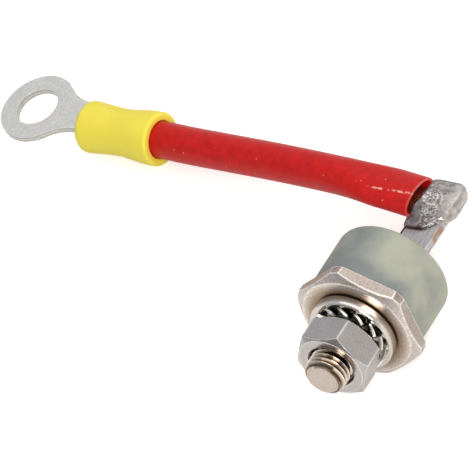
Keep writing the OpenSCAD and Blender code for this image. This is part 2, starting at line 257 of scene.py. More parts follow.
def weld(merge, fill=False):
    """Merges points that lie together, fills open ends if asked, and turns all faces outwards."""
    bpy.ops.object.mode_set(mode="EDIT")
    bpy.ops.mesh.select_all(action="SELECT")
    bpy.ops.mesh.remove_doubles(threshold=merge)
    if fill:
        bpy.ops.mesh.select_all(action="DESELECT")
        bpy.ops.mesh.select_non_manifold()
        bpy.ops.mesh.fill_holes(sides=0)
        bpy.ops.mesh.select_all(action="SELECT")
    bpy.ops.mesh.normals_make_consistent(inside=False)
    bpy.ops.object.mode_set(mode="OBJECT")


def roll_grid(name, around, along, place, close_ends=False):
    """Rolls a grid into a tube: place(u, v) gives each point, u round the tube and v along it."""
    bpy.ops.mesh.primitive_grid_add(x_subdivisions=around, y_subdivisions=along, size=1)
    piece = named(name)
    for vertex in piece.data.vertices:
        vertex.co = place(vertex.co.x + 0.5, vertex.co.y + 0.5)
    weld(0.0005, close_ends)
    return piece


def route_frame(line, v):
    """Place, sideways and upward directions and flatness at a share v of a route."""
    i = round(v * (len(line) - 1))
    along = (line[min(i + 1, len(line) - 1)] - line[max(i - 1, 0)]).to_3d().normalized()
    side = TAB_UP.cross(along).normalized()
    return line[i].to_3d(), side, along.cross(side), line[i][3]


# %% The sleeve's tube, with a slanted mouth
SLEEVE_R, SLEEVE_WALL, SLEEVE_RIM, PRESSED_WIDER, PRESSED_LOWER = 2.675, 0.4, 0.14, 0.35, 0.46
MOUTH_SLANT, MOUTH_SHARE, LEAN_ALL, LEAN_BELOW, LEAN_ABOVE = 0.6, 0.15, 0.3, 0.6, -0.5


def sleeve_place(u, v):
    centre, side, lift, flat = route_frame(lead_line, v)
    c, s = cos(2 * pi * u), sin(2 * pi * u)
    lean = c + LEAN_ALL + (LEAN_BELOW if s < 0 else LEAN_ABOVE) * s
    slant = MOUTH_SLANT * lean * max(1 - v / MOUTH_SHARE, 0)
    return (centre + SLEEVE_R * (1 + PRESSED_WIDER * flat) * c * side
            + SLEEVE_R * (1 - PRESSED_LOWER * flat) * s * lift - slant * side.cross(lift))


sleeve = roll_grid("red_sleeve", 64, len(lead_line) - 1, sleeve_place)


# %% Give the sleeve its wall, and put it in place
def apply(piece, kind, **settings):
    """Adds a modifier with its settings and applies it."""
    pick(piece)
    modifier = piece.modifiers.new(kind.lower(), kind)
    for name, value in settings.items():
        setattr(modifier, name, value)
    bpy.ops.object.modifier_apply(modifier=modifier.name)


def round_edges(piece, width, segments, degrees, **settings):
    """Rounds all edges that turn by more than some degrees."""
    apply(piece, "BEVEL", width=width, segments=segments, limit_method="ANGLE",
          angle_limit=radians(degrees), **settings)


def settle(piece, degrees, matrix=Matrix()):
    """Puts a piece made in millimetres in its place, in metres, and shades it smooth up to some degrees."""
    pick(piece)
    piece.matrix_world = Matrix.Scale(MM, 4) @ matrix
    bpy.ops.object.transform_apply(location=True, rotation=True, scale=True)
    bpy.ops.object.shade_smooth_by_angle(angle=radians(degrees))
    apply(piece, "WEIGHTED_NORMAL", keep_sharp=True)
    print(f"{piece.name}: {len(piece.data.polygons)} faces,", as_mm(piece.dimensions), "mm")


apply(sleeve, "SOLIDIFY", thickness=SLEEVE_WALL, offset=-1, use_even_offset=True)
round_edges(sleeve, SLEEVE_RIM, 3, 55)
settle(sleeve, 50)

# %% [markdown]
# ### Red PVC
# PVC comes off the extruder with a satin skin that has faint lines along the lead and a few pale specks
# of dust pressed into it. The lines follow the UV map. Dust and dents lie anywhere, so their patterns are
# measured in millimetres on Object coordinates, which a Mapping node scales: a Scale of 0.5 is then one
# feature every 2 mm. Where the mouth was pressed flat, a broken pale line along the fold is a painted
# highlight. The knife has left a pale lip at the cut, painted stronger on its upper half as a highlight.


# %% Satin red PVC: deep red, soft broken highlights, sparse pale specks
def coordinates(node, on_diode=False):
    """Coordinates in millimetres, of the table or of the diode: X across its tab, Z along its stud."""
    inputs = {"Vector": node("TexCoord").outputs["Object"], "Scale": (MM, MM, MM)}
    if on_diode:
        inputs.update({"Location": SEAT * MM, "Rotation": (pi / 2 - TILT, 0, 0)})
    return node("Mapping", inputs, vector_type="TEXTURE")


def give_surface(node, colour, roughness, height, depth_mm, strength, more):
    """Ends a material: relief of some depth, the surface with its colour and roughness, and the output."""
    relief = node("Bump", {"Height": height, "Strength": strength, "Distance": depth_mm * MM})
    inputs = {"Base Color": colour, "Roughness": roughness, "Normal": relief, **more}
    node("OutputMaterial", {"Surface": node("BsdfPrincipled", inputs)})


UV_ROUND, UV_LONG, LINE_GAP, LINE_RUN = 16.3, 57, 0.5, 9
red_pvc, node = new_material("red_pvc")
in_mm = coordinates(node)
on_skin = node("UVMap", uv_map="UVMap")
lines = node("Mapping", {"Vector": on_skin, "Scale": (UV_ROUND / LINE_GAP, UV_LONG / LINE_RUN, 1)})
drawn = node("TexNoise", {"Vector": lines, "Scale": 1, "Detail": 2})
dents = node("TexNoise", {"Vector": in_mm, "Scale": 0.9, "Detail": 6})
grainy = node("MapRange", {"Value": dents, "From": (0.28, 0.72)})
depth = node("MixRGB", [grainy, "#b00c09", "#c81411"])
cells = node("TexVoronoi", {"Vector": in_mm, "Scale": 0.6})
speck = node("MapRange", {"Value": cells, "From": (0.04, 0.1), "To": (1, 0)})
few = node("Math", [cells.outputs["Color"], 0.4], "GREATER_THAN")
dust = node("Math", [speck, few], "MULTIPLY")

# %% The painted highlight line by the mouth, and the pale lip with a painted highlight on its upper half, on the UV map
uv = node("SeparateXYZ", [on_skin]).outputs
# A broken pale line that leans along the pressed fold by the mouth: a painted highlight.
LINE_LEAN, LINE_AT = 0.31, 0.219
leaning = node("Math", [uv["Y"], LINE_LEAN, uv["X"]], "MULTIPLY_ADD")
off_line = node("Math", [leaning, LINE_AT], "SUBTRACT")
off_line = node("Math", [off_line], "ABSOLUTE")
painted_glint_line = node("MapRange", {"Value": off_line, "From": (0.004, 0.01), "To": (1, 0)})
at_mouth = node("MapRange", {"Value": uv["Y"], "From": (0.12, 0.17), "To": (1, 0)})
breaks = node("TexNoise", {"Vector": in_mm, "Scale": 1.3, "Detail": 2})
broken = node("MapRange", {"Value": breaks, "From": (0.44, 0.54)})
for mask in (at_mouth, broken):
    painted_glint_line = node("Math", [painted_glint_line, mask], "MULTIPLY")
# The pale lip at the cut: a real cut edge, painted stronger on the upper half as a highlight.
at_cut = node("MapRange", {"Value": uv["Y"], "From": (0.002, 0.006), "To": (0.4, 0)})
upper_half = node("MapRange", {"Value": uv["X"], "From": (0.1, 0.28), "To": (0.25, 1)})
cut_lip_and_highlight = node("Math", [at_cut, upper_half], "MULTIPLY")
colour = depth
for mask, tone in ((dust, "#d37f77"), (painted_glint_line, "#e9a8a0"), (cut_lip_and_highlight, "#c98a86")):
    colour = node("MixRGB", [mask, colour, tone])
sheen = node("MapRange", {"Value": dents, "To": (0.3, 0.5)})
bumps = node("Math", [drawn, dents], "ADD")
give_surface(node, colour, sheen, bumps, 0.05, 0.5, {"IOR": 1.53, "Specular IOR Level": 0.2})
print("red PVC:", len(red_pvc.node_tree.nodes), "nodes")


# %% Dress the sleeve
def dress(piece, material, slot, *nodes):
    """Gives a piece its finish, lets it ride on the one body and says which solids it stands for."""
    piece.data.materials.clear()
    piece.data.materials.append(material)
    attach(piece, "root")
    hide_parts(*nodes)
    print(piece.name, "stands for", ", ".join(nodes), "in", material.name)


dress(sleeve, red_pvc, "red_sleeve", "lead_sleeve")

# %% [markdown]
# ## The ring terminal
# A ring terminal is stamped from tinned copper sheet, 1 mm thick. The ring stays flat, and behind the
# neck the sheet is rolled up into a barrel that is crimped on the wire. A flat curve gives the outline
# with its hole, and a grid that goes from flat to round gives the rolled part. The two meet in one row of
# shared points, so they merge into one sheet, and one bevel rounds all its rims.

# %% Outline of the ring and its neck
RING_R, HOLE_R, SHEET, SHEET_RIM, NECK_HALF, FILLET_R = 5.7, 3.2, 1.0, 0.16, 2.45, 7.0
ROLL_START, ROLL_END, BARREL_MID_R = 8.65, 10.4, 2.15
TONGUE_LIFT, BARREL_LIFT, ACROSS = 2.0, 2.15, 24


def arc(centre, radius, start, end, steps):
    """Points on an arc, in the plane of the sheet."""
    angles = [start + (end - start) * i / steps for i in range(steps + 1)]
    return [Vector((centre[0] + radius * cos(a), centre[1] + radius * sin(a))) for a in angles]


fillet_x = sqrt((RING_R + FILLET_R) ** 2 - (NECK_HALF + FILLET_R) ** 2)
meet = atan2(NECK_HALF + FILLET_R, fillet_x)
upper = [Vector((ROLL_START, NECK_HALF))]
upper += arc((fillet_x, NECK_HALF + FILLET_R), FILLET_R, -pi / 2, meet - pi, 12)
lower = [Vector((p.x, -p.y)) for p in reversed(upper)]
across_neck = [Vector((ROLL_START, NECK_HALF * (2 * i / ACROSS - 1))) for i in range(1, ACROSS)]
round_ring = arc((0, 0), RING_R, meet, 2 * pi - meet, 60)
outline = lower[1:] + across_neck + upper[:-1] + round_ring
hole = arc((0, 0), HOLE_R, 0, 2 * pi, 48)[:-1]

flat = bpy.data.curves.new("ring_sheet", "CURVE")
flat.dimensions, flat.fill_mode, flat.extrude = "2D", "BOTH", SHEET / 2
for loop in (outline, hole):
    spline = flat.splines.new("POLY")
    spline.points.add(len(loop) - 1)
    for point, (x, y) in zip(spline.points, loop):
        point.co = (x, y, 0, 1)
    spline.use_cyclic_u = True
terminal = bpy.data.objects.new("ring_sheet", flat)
bpy.context.collection.objects.link(terminal)
pick(terminal)
bpy.ops.object.convert(target="MESH")
terminal = bpy.context.active_object
print("ring outline:", len(outline), "points, neck", 2 * NECK_HALF, "mm wide")


# %% The rolled tongue and barrel
def ease(t):
    """A share from 0 to 1 that starts and stops gently."""
    t = min(max(t, 0), 1)
    return t * t * (3 - 2 * t)


FULL_HALF_TURN = radians(172)
stations = [ROLL_START + (ROLL_END - ROLL_START) * i / 12 for i in range(13)]
stations += [ROLL_END + (BARREL_END - ROLL_END) * i / 6 for i in range(1, 7)]
section = [(2 * i / ACROSS - 1, 0.5) for i in range(ACROSS + 1)]
section += [(1 - 2 * i / ACROSS, -0.5) for i in range(ACROSS + 1)]


def tongue_place(u, v):
    share, side = section[round(u * len(section)) % len(section)]
    distance = stations[round(v * (len(stations) - 1))]
    t = ease((distance - ROLL_START) / (ROLL_END - ROLL_START))
    half_turn = max(FULL_HALF_TURN * t, 1e-3)
    half_wide = NECK_HALF + (BARREL_MID_R + SHEET / 2 - NECK_HALF) * t
    mid_r = BARREL_MID_R
    if half_turn < pi / 2:
        mid_r = half_wide / sin(half_turn) - SHEET / 2
    angle = share * half_turn
    r = mid_r + side * SHEET
    return Vector((distance, r * sin(angle),
                   r * cos(angle) - mid_r + (BARREL_LIFT - TONGUE_LIFT) * t))


tongue = roll_grid("tongue", len(section), len(stations) - 1, tongue_place)

# %% Open the end of the neck, join ring and tongue into one sheet, and round its rims
TERMINAL_AXIS = Matrix.Translation((RING_AT.x, RING_AT.y, AXIS_Z)) @ Matrix.Rotation(HEADING, 4, "Z")
pick(terminal)
bpy.ops.object.mode_set(mode="EDIT")
bpy.ops.mesh.select_all(action="SELECT")
bpy.ops.mesh.remove_doubles(threshold=0.0005)
bpy.ops.mesh.select_all(action="DESELECT")
bpy.ops.object.mode_set(mode="OBJECT")
for face in terminal.data.polygons:
    face.select = face.normal.x > 0.9 and face.center.x > ROLL_START - 0.01
bpy.ops.object.mode_set(mode="EDIT")
bpy.ops.mesh.select_mode(type="FACE")
bpy.ops.mesh.delete(type="FACE")
bpy.ops.mesh.select_mode(type="VERT")
bpy.ops.object.mode_set(mode="OBJECT")
tongue.select_set(True)
bpy.ops.object.join()
weld(0.005, fill=True)
round_edges(terminal, SHEET_RIM, 3, 50)
settle(terminal, 40, TERMINAL_AXIS @ Matrix.Translation((0, 0, TONGUE_LIFT)))

# %% [markdown]
# ### Tinned copper sheet
# Hot tin leaves a soft silvery skin, a little cloudy, with fine scratches from handling. It is a metal
# with a broad highlight, so it is the roughness that varies, more than the colour. The press has sheared
# the edge: the depth in the sheet says where it is torn and dull, and gives it bands of colour. These are
# partly the burnished band and darker fracture line of the cut that runs round, and partly painted light:
# a painted highlight along the top rim and painted shade on the lower rim.

# %% Tinned copper: pale silver grey, cloudy, finely scratched
METAL = {"Metallic": 1}
SHEET_LOW = AXIS_Z + TONGUE_LIFT - SHEET / 2
SCRATCH_TURN, SCRATCHES = 0.6, (0.5, 5, 5)
tinned, node = new_material("tinned_copper")
in_mm = coordinates(node)
cloud = node("TexNoise", {"Vector": in_mm, "Scale": 0.45, "Detail": 4})
stretch = node("Mapping", {"Vector": in_mm, "Rotation": (0, 0, SCRATCH_TURN), "Scale": SCRATCHES})
scratch = node("TexNoise", {"Vector": stretch, "Scale": 1, "Detail": 3})
grain = node("TexNoise", {"Vector": in_mm, "Scale": 2.6, "Detail": 3})
patchy = node("MapRange", {"Value": grain, "From": (0.3, 0.7)})
tone = node("MixRGB", [patchy, "#d8d9d7", "#ececea"])
height = node("SeparateXYZ", [in_mm]).outputs["Z"]
depth = node("MapRange", {"Value": height, "From": (SHEET_LOW, SHEET_LOW + SHEET)})
# Bands by depth in the sheet: burnished band and darker fracture line of the cut, with a painted highlight
# at the top rim and painted shade at the bottom.
edge_bands_and_painted_rim_light = node("ValToRGB", {"Fac": depth})
set_stops(edge_bands_and_painted_rim_light, [(0, "#c8c9c7"), (0.3, "#f6f6f4"), (0.62, "#f6f6f4"), (0.74, "#c4c5c3"),
                    (0.86, "#f6f6f4"), (1, "#ffffff")])
edged = node("MixRGB", [1, tone, edge_bands_and_painted_rim_light], blend_type="MULTIPLY")
cloudy = node("MapRange", {"Value": cloud, "To": (0.34, 0.5)})
torn = node("MapRange", {"Value": depth, "From": (0.95, 0.8), "To": (0, 0.8)})
dull = node("Math", [cloudy, torn], "MAXIMUM")
marks = node("Math", [scratch, grain], "ADD")
give_surface(node, edged, dull, marks, 0.03, 0.3, METAL)
dress(terminal, tinned, "tinned_copper", "ring_terminal")

# %% [markdown]
# ## The yellow grip
# The insulating grip is a moulded tube that covers the barrel and the end of the sleeve. It has a
# rounded front edge, a waist where the crimping tool pressed it, and a wide rear mouth. A round piece
# like this is drawn as half of its cut face and spun round its axis.


# %% Draw a line and turn it
def draw_line(name, points):
    """Draws a line of points one after the other, by extruding the last one."""
    points = [Vector(p) for p in points]
    bpy.ops.mesh.primitive_plane_add(size=1)
    piece = named(name)
    bpy.ops.object.mode_set(mode="EDIT")
    bpy.ops.mesh.select_all(action="SELECT")
    bpy.ops.mesh.merge(type="CENTER")
    bpy.ops.transform.translate(value=points[0])
    for a, b in zip(points, points[1:]):
        bpy.ops.mesh.extrude_vertices_move(TRANSFORM_OT_translate={"value": b - a})
    bpy.ops.object.mode_set(mode="OBJECT")
    return piece


def turn_piece(name, profile, steps):
    """Turns a line of (radius, height) points round the Z axis, as on a lathe."""
    piece = draw_line(name, [(r, 0, z) for r, z in profile])
    bpy.ops.object.mode_set(mode="EDIT")
    bpy.ops.mesh.select_all(action="SELECT")
    bpy.ops.mesh.spin(steps=steps, angle=2 * pi, center=(0, 0, 0), axis=(0, 0, 1))
    bpy.ops.mesh.select_all(action="SELECT")
    bpy.ops.mesh.remove_doubles(threshold=0.001)
    bpy.ops.mesh.dissolve_degenerate(threshold=0.0001)
    weld(0.001)
    return piece


def rounded(corners, steps):
    """A closed line of (radius, height) points, from corners (radius, height, rounding)."""
    line = []
    for i, (r, z, rounding) in enumerate(corners):
        here = Vector((r, z))
        back = (Vector(corners[i - 1][:2]) - here).normalized()
        on = (Vector(corners[(i + 1) % len(corners)][:2]) - here).normalized()
        if rounding == 0:
            line.append((r, z))
            continue
        half = back.angle(on) / 2
        centre = here + (back + on).normalized() * rounding / sin(half)
        first = (here + back * rounding / tan(half) - centre).normalized()
        last = (here + on * rounding / tan(half) - centre).normalized()
        line += [tuple(centre + rounding * first.slerp(last, k / steps)) for k in range(steps + 1)]
    return line + [line[0]]


# %% Turn the grip
FRONT_R, WAIST_R, REAR_R, WAIST_AT, REAR_AT = 3.75, 3.4, 3.875, 0.46, 0.92
BORE_R, MOUTH_R, MOUTH_TAPER, BORE_INSET = 2.7, 2.74, 0.6, 0.1
FRONT_EDGE, REAR_EDGE, MOUTH_EDGE = 1.0, 0.4, 0.2
SIDE_FROM, SIDE_TO, SIDE_STEPS = 0.08, 0.95, 30


def grip_radius(share):
    """Outer radius of the grip at a share of its length."""
    if share < WAIST_AT:
        return FRONT_R + (WAIST_R - FRONT_R) * ease(share / WAIST_AT)
    return WAIST_R + (REAR_R - WAIST_R) * ease((share - WAIST_AT) / (REAR_AT - WAIST_AT))


def quarter(steps):
    """Sine and cosine pairs over a quarter turn, from 0."""
    angles = [pi / 2 * i / steps for i in range(steps + 1)]
    return [(sin(a), cos(a)) for a in angles]


shares = [SIDE_FROM + (SIDE_TO - SIDE_FROM) * i / SIDE_STEPS for i in range(SIDE_STEPS + 1)]
outer = [(FRONT_R - FRONT_EDGE * (1 - s), GRIP_START + FRONT_EDGE * (1 - c)) for s, c in quarter(8)[:-1]]
outer += [(grip_radius(share), GRIP_START + share * (GRIP_END - GRIP_START)) for share in shares]
outer += [(REAR_R - REAR_EDGE * (1 - c), GRIP_END - REAR_EDGE * (1 - s)) for s, c in quarter(5)]
inner = [(MOUTH_R + MOUTH_EDGE * (1 - s), GRIP_END - MOUTH_EDGE * (1 - c)) for s, c in quarter(4)]
inner += [(MOUTH_R, BARREL_END + MOUTH_TAPER), (BORE_R, BARREL_END), (BORE_R, GRIP_START + BORE_INSET)]
grip = turn_piece("yellow_grip", outer + inner + [outer[0]], 80)
settle(grip, 40, TERMINAL_AXIS @ Matrix.Rotation(pi / 2, 4, "Y"))

# %% [markdown]
# ### Yellow PVC
# The grip is moulded PVC: opaque, a strong lemon yellow, a little warmer where it is thick, with the
# faint unevenness that the crimp leaves. Some light goes in and comes out again, so it has a small
# subsurface weight.

# %% Moulded yellow PVC: lemon yellow, satin, slightly uneven
yellow_pvc, node = new_material("yellow_pvc")
in_mm = coordinates(node)
uneven = node("TexNoise", {"Vector": in_mm, "Scale": 0.35, "Detail": 3})
pores = node("TexNoise", {"Vector": in_mm, "Scale": 2.5, "Detail": 2})
tone = node("MixRGB", [uneven, "#e2d33f", "#ebdf50"])
satin = node("MapRange", {"Value": uneven, "To": (0.5, 0.66)})
height = node("Math", [uneven, pores], "ADD")
give_surface(node, tone, satin, height, 0.06, 0.25, {
    "IOR": 1.53, "Subsurface Weight": 0.3, "Subsurface Radius": (1, 0.9, 0.3), "Subsurface Scale": MM})
dress(grip, yellow_pvc, "yellow_plastic", "terminal_grip")

# %% [markdown]
# ## The hex base
# The base is turned from copper bar, its rim is milled to a hexagon for a spanner, and it is then plated
# with nickel. The turning tool leaves a cone round the seat face, so the milled flats end in shallow
# arcs. The same two steps make it here: a blank is turned, and six bisect cuts mill the flats. The arcs
# appear by themselves, as they do on the machine. A bevel is no wider than the shortest edge allows. With
# 84 steps one of the blank's edges comes within 0.04 mm of every point where a flat ends, and merging
# takes up the rest. Two attributes tell the finish where an edge is worn and gets a painted highlight,
# and which faces are milled.

# %% Turn and mill
LAID = Matrix.Translation(SEAT) @ Matrix.Rotation(pi / 2 - TILT, 4, "X")
HEX_AF, HEX_T, CORNER_R, SEAT_R, HEX_TURN = 17, 2.2, 9.415, 8.1, radians(2)
HEX_STEPS, HEX_MERGE, HEX_WEAR = 84, 0.06, 0.2
SLOPE = tan(radians(30))


def cut_off(point, normal):
    """Cuts away what lies beyond a plane, and closes the cut."""
    bpy.ops.object.mode_set(mode="EDIT")
    bpy.ops.mesh.select_all(action="SELECT")
    bpy.ops.mesh.bisect(plane_co=point, plane_no=normal, use_fill=True, clear_outer=True)


def mill_hex(piece, across_flats, first_flat, merge):
    """Cuts six flats into a turned piece, the first one facing the angle first_flat."""
    pick(piece)
    for k in range(6):
        facing = first_flat + k * pi / 3
        normal = Vector((cos(facing), sin(facing), 0))
        cut_off(normal * across_flats / 2, normal)
    weld(merge)


def wear_edges(piece, width):
    """Rounds the sharp edges, and marks the middle of each rounding and the milled faces."""
    for _ in range(2):
        piece.data.materials.append(None)
    round_edges(piece, width, 2, 20, material=1)
    outside = {i for face in piece.data.polygons if face.material_index == 0 for i in face.vertices}
    worn_and_glinting = piece.data.attributes.new("worn_and_glinting", "FLOAT", "POINT")
    for vertex in piece.data.vertices:
        worn_and_glinting.data[vertex.index].value = 0 if vertex.index in outside else 1
    milled = piece.data.attributes.new("milled", "FLOAT", "FACE")
    for face in piece.data.polygons:
        milled.data[face.index].value = 1 if abs(face.normal.z) < 0.05 else 0


drop = (CORNER_R - SEAT_R) * SLOPE
hex_base = turn_piece("hex_base", [
    (0, -HEX_T), (CORNER_R, -HEX_T), (CORNER_R, -drop), (SEAT_R, 0), (0, 0)], HEX_STEPS)
mill_hex(hex_base, HEX_AF, 0, HEX_MERGE)
wear_edges(hex_base, HEX_WEAR)
settle(hex_base, 25, LAID @ Matrix.Rotation(HEX_TURN, 4, "Z"))

# %% [markdown]
# ## The threaded stud
# The stud carries a fine M6 thread, with a pitch of 0.75 mm. The Screw modifier winds one tooth of the
# thread round the axis. Cutting planes then trim the ragged ends, and the last millimetre is turned down
# to a blunt tip, as the chamfer on a real stud is.

# %% Wind the thread, trim it and turn down the tip
STUD_LEN, CREST_R, ROOT_R, PITCH, TURNS, TIP_R, TIP_LEN = 10.3, 3.0, 2.5, 0.75, 16, 1.9, 1.05
tooth = [(ROOT_R, 0), (ROOT_R, 0.08), (CREST_R, 0.34), (CREST_R, 0.43), (ROOT_R, 0.69), (ROOT_R, PITCH)]
stud = draw_line("threaded_stud", [(r, 0, z - PITCH) for r, z in tooth])
apply(stud, "SCREW", angle=2 * pi, screw_offset=PITCH, iterations=TURNS, steps=64, render_steps=64,
      axis="Z", use_merge_vertices=True, merge_threshold=0.001)
cut_off((0, 0, 0), (0, 0, -1))
cut_off((0, 0, STUD_LEN), (0, 0, 1))
weld(0.001)
for vertex in stud.data.vertices:
    spare = (vertex.co.z - (STUD_LEN - TIP_LEN)) / TIP_LEN
    if spare > 0:
        limit = TIP_R + (CREST_R - TIP_R) * sqrt(max(1 - spare ** 2, 0)) ** 0.8
        shrink = limit / max(vertex.co.xy.length, limit)
        vertex.co.x *= shrink
        vertex.co.y *= shrink
settle(stud, 24, LAID)

# %% [markdown]
# ## Nut and washers
# The nut is turned and milled as the base is, with a cone at both ends and a countersink at its bore.
# The plain washer is punched, so its rim is rounded on the punch side.

# %% Nut
NUT_AF, NUT_LOW, NUT_H, NUT_TIP_R, NUT_BORE, NUT_SINK = 10, 2.997, 4.7, 4.75, 3.1, 0.45
NUT_TURN, NUT_STEPS, NUT_MERGE, NUT_WEAR, NUT_SPARE = radians(2), 144, 0.002, 0.11, 0.2
blank_r = NUT_AF / 2 / cos(pi / 6) + NUT_SPARE
cone = (blank_r - NUT_TIP_R) * SLOPE
nut_top = NUT_LOW + NUT_H
nut = turn_piece("nut", [
    (NUT_BORE, NUT_LOW + NUT_SINK), (NUT_BORE + NUT_SINK, NUT_LOW), (NUT_TIP_R, NUT_LOW),
    (blank_r, NUT_LOW + cone), (blank_r, nut_top - cone), (NUT_TIP_R, nut_top),
    (NUT_BORE + NUT_SINK, nut_top), (NUT_BORE, nut_top - NUT_SINK), (NUT_BORE, NUT_LOW + NUT_SINK)],
    NUT_STEPS)
mill_hex(nut, NUT_AF, radians(30) + NUT_TURN, NUT_MERGE)
wear_edges(nut, NUT_WEAR)
settle(nut, 25, LAID)

# %% Plain washer
WASHER_R, WASHER_BORE, WASHER_LOW, WASHER_T = 6.2, 3.2, 0.2, 1.6
washer_high = WASHER_LOW + WASHER_T
washer = turn_piece("flat_washer", rounded([
    (WASHER_BORE, WASHER_LOW, 0.1), (WASHER_R, WASHER_LOW, 0.15), (WASHER_R, washer_high, 0.3),
    (WASHER_BORE, washer_high, 0.2)], 6), 128)
settle(washer, 40, LAID)

# %% [markdown]
# ## The lock washer
# The lock washer is a ring of spring steel with fourteen teeth, each twisted so that its edges bite into
# the nut and the washer. Copies of one twisted tooth would have to be welded to the ring. A grid can
# instead be rolled all the way round: its columns reach out to the tip inside a tooth, stay at the root
# between two teeth, and tilt more and more on the way out.

# %% Roll the lock washer
TEETH, TOOTH_TIP, TOOTH_ROOT, TOOTH_T, TOOTH_RIM = 14, 5.5, 4.3, 0.36, 0.04
TWIST, TWIST_REACH, TOOTH_FILL = radians(29), 0.6, 0.97
LOCK_MID = (washer_high + NUT_LOW) / 2
reach_steps = (TOOTH_ROOT, 4.5, 4.75, 5.1, TOOTH_TIP)
cut_face = [(WASHER_BORE, -0.5), (WASHER_BORE, 0.5)] + [(r, 0.5) for r in reach_steps]
cut_face += [(r, -0.5) for r in reversed(reach_steps)]
columns = [(share, True) for share in (-1, -0.5, 0, 0.5, 1)] + [(1, False), (-1, False)]


def lock_place(u, v):
    r, side = cut_face[round(u * len(cut_face)) % len(cut_face)]
    index = round(v * TEETH * len(columns)) % (TEETH * len(columns))
    number, column = divmod(index, len(columns))
    share, is_tooth = columns[column]
    if column == len(columns) - 1:
        number += 1
    middle = 2 * pi * number / TEETH
    radial = Vector((cos(middle), sin(middle), 0))
    tangent = Vector((-sin(middle), cos(middle), 0))
    angle = share * pi / TEETH * TOOTH_FILL
    base_r = min(r, TOOTH_ROOT)
    out, sideways, lift = base_r * cos(angle), base_r * sin(angle), side * TOOTH_T
    if is_tooth and r > TOOTH_ROOT:
        out += r - TOOTH_ROOT
        turn = -TWIST * ease((r - TOOTH_ROOT) / TWIST_REACH)
        sideways, lift = (sideways * cos(turn) - lift * sin(turn),
                          sideways * sin(turn) + lift * cos(turn))
    return radial * out + tangent * sideways + Vector((0, 0, LOCK_MID + lift))


lock = roll_grid("lock_washer", len(cut_face), TEETH * len(columns), lock_place)
round_edges(lock, TOOTH_RIM, 2, 45)
settle(lock, 30, LAID)

# %% [markdown]
# ### Nickel plate
# Nickel is a slightly warm, yellowish white metal. On a turned face it mirrors the room in a soft,
# drawn-out way, because the plate follows the fine rings of the turning tool. The rings are centred on
# the stud, so a Mapping node of type Texture brings the pattern to the diode's own axis, in millimetres.
# Real feed marks are about 0.1 mm apart. They are drawn 0.35 mm apart, so that they show. The colour goes
# by the distance from the axis. It holds painted shade in the countersink, at the bores and in the roots of
# the thread, a painted reflection in a brown band round the base's seat, and painted highlights on the
# thread's crests and the tips of the lock washer's teeth. Small pits are darker, the milled flats of the
# base are duller, and edges are bright in places, as worn plate and as a painted highlight.

# %% Bright nickel: warm white, soft mirror, fine rings, darker pits, painted shade in the inner corners and painted highlights on crests, rims and edges
RAMP_END, WAVE_PERIOD, FEED_MARKS = 10, 0.314, 0.35


def nickel(name, radial_tones_and_painted_light, roughness, ring_depth, dirt_tone, milled_tone="#ffffff"):
    """Plated metal whose tones, with painted shade and highlights in them, are pairs of a distance from the
    stud's axis in mm and a colour.
    """
    plate, node = new_material(name)
    on_axis = coordinates(node, on_diode=True)
    rings = node("TexWave", {
        "Vector": on_axis, "Scale": WAVE_PERIOD / FEED_MARKS, "Distortion": 0.6, "Detail": 2},
        wave_type="RINGS", rings_direction="Z")
    stain = node("TexNoise", {"Vector": on_axis, "Scale": 0.6, "Detail": 4})
    pits = node("TexNoise", {"Vector": on_axis, "Scale": 3.5, "Detail": 3})
    level = node("VectorMath", [on_axis, (1, 1, 0)], "MULTIPLY")
    radius = node("VectorMath", [level], "LENGTH").outputs["Value"]
    share = node("Math", [radius, RAMP_END], "DIVIDE")
    # Tones by distance from the axis: painted shade in hollows and painted highlights on crests and rims.
    tone = node("ValToRGB", {"Fac": share})
    set_stops(tone, [(distance / RAMP_END, colour) for distance, colour in radial_tones_and_painted_light])
    dirt = node("MapRange", {"Value": pits, "From": (0.35, 0.6), "To": (dirt_tone, 1.03)})
    mottled = node("MixRGB", [1, tone, dirt], blend_type="MULTIPLY")
    milled = node("Attribute", attribute_name="milled").outputs["Fac"]
    duller = node("MixRGB", [milled, mottled, milled_tone], blend_type="MULTIPLY")
    # Bright patches on the middle of each rounded edge: worn plate, and a painted highlight along the
    # edges.
    worn_and_glinting = node("Attribute", attribute_name="worn_and_glinting").outputs["Fac"]
    rubbed = node("MapRange", {"Value": pits, "From": (0.4, 0.55), "To": (0.3, 1)})
    bright = node("Math", [worn_and_glinting, rubbed], "MULTIPLY")
    edged = node("MixRGB", [bright, duller, "#fbf6f1"])
    haze = node("MapRange", {"Value": stain, "From": (0.3, 0.7), "To": roughness})
    marks = node("Math", [rings.outputs["Fac"], pits], "ADD")
    give_surface(node, edged, haze, marks, ring_depth, 0.5, METAL)
    return plate


# %% Plate the metal pieces
# The brown band at 6.2 to 7.0 mm, next to the washer, is a painted reflection and shade on the seat face.
base_plate = nickel("nickel_on_turned_copper", [
    (6.2, "#8e7a67"), (7.0, "#b3a18f"), (7.9, "#ddd5cf"), (8.5, "#d6cec8"), (9.2, "#dad3ce")],
    (0.3, 0.42), 0.005, 0.78, "#d8d3cf")
# Dark at the thread's roots (2.5 mm) is painted shade. Pale at the crests (2.95 mm) is a painted highlight.
stud_plate = nickel("nickel_on_rolled_thread", [
    (0, "#cac2b9"), (2.3, "#c9c0b6"), (2.5, "#5f4c3a"), (2.75, "#c4b29d"), (2.95, "#f3ece4")],
    (0.06, 0.16), 0.004, 0.84)
# Dark at the bore and countersink (3.1 to 3.4 mm) is painted shade.
nut_plate = nickel("nickel_on_milled_steel", [
    (3.1, "#40362f"), (3.4, "#766b63"), (3.58, "#c1bebd"), (5.6, "#bdbbbb"), (5.75, "#dcdad8")],
    (0.2, 0.32), 0.003, 0.92)
